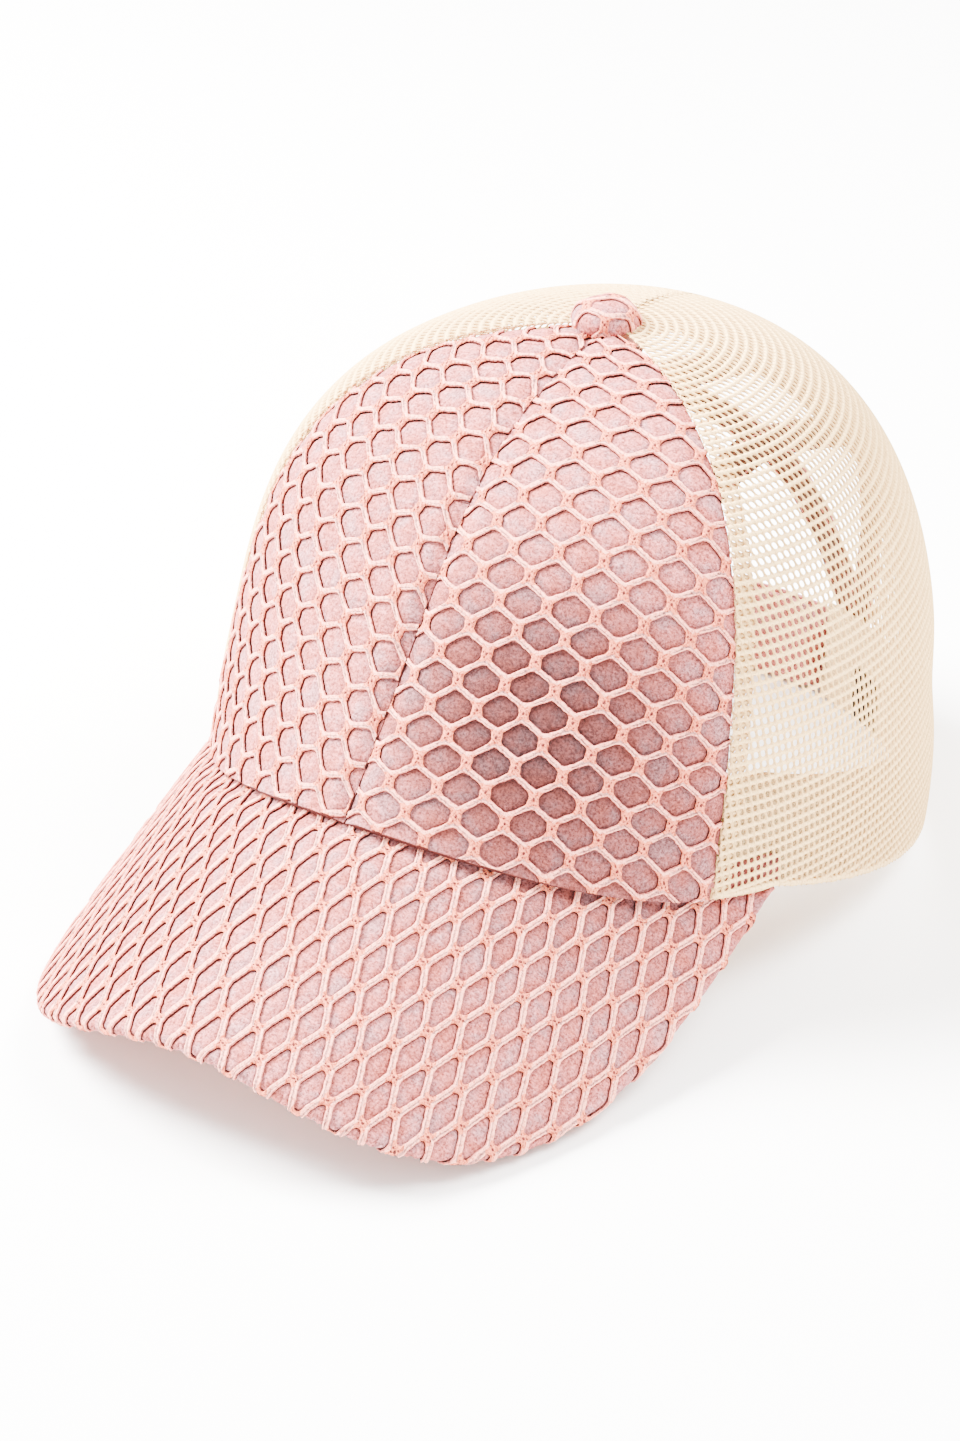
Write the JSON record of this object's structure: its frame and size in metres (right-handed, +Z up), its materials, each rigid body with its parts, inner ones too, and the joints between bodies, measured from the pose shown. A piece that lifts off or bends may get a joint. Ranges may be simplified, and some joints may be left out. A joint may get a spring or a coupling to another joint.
{
  "type": "ponytail baseball cap",
  "caption": "Baseball cap with netted suede front and curved peak, fine mesh crown, and an arched back opening crossed by straps for a ponytail, closed by overlapping tabs.",
  "frame": {"origin": "on the surface that the cap rests on, under the middle of the cap's bounding box", "axes": "+Z up, -Y the way the front and the peak look, +X the wearer's left"},
  "size_m": [0.1695, 0.2606, 0.1368],
  "materials": {
    "netted_suede": "faux suede under a raised net",
    "strap_cloth": "folded faux suede",
    "mesh_cloth": "knitted polyester mesh",
    "sweatband_cloth": "brushed cotton",
    "hook_tape": "woven tape"
  },
  "bodies": {
    "root": {"front_panel_left": "netted_suede", "front_panel_right": "netted_suede", "mesh_panel_left": "mesh_cloth", "mesh_panel_right": "mesh_cloth", "button": "netted_suede", "peak": "netted_suede", "sweatband": "sweatband_cloth", "opening_binding": "netted_suede", "lower_strap_inner": "strap_cloth", "lower_strap_outer": "strap_cloth", "upper_strap_inner": "strap_cloth", "upper_strap_outer": "strap_cloth", "tab_inner": "netted_suede", "tab_outer": "netted_suede", "hook_and_loop_pad": "hook_tape", "inner_tag": "hook_tape"}
  },
  "joints": []
}
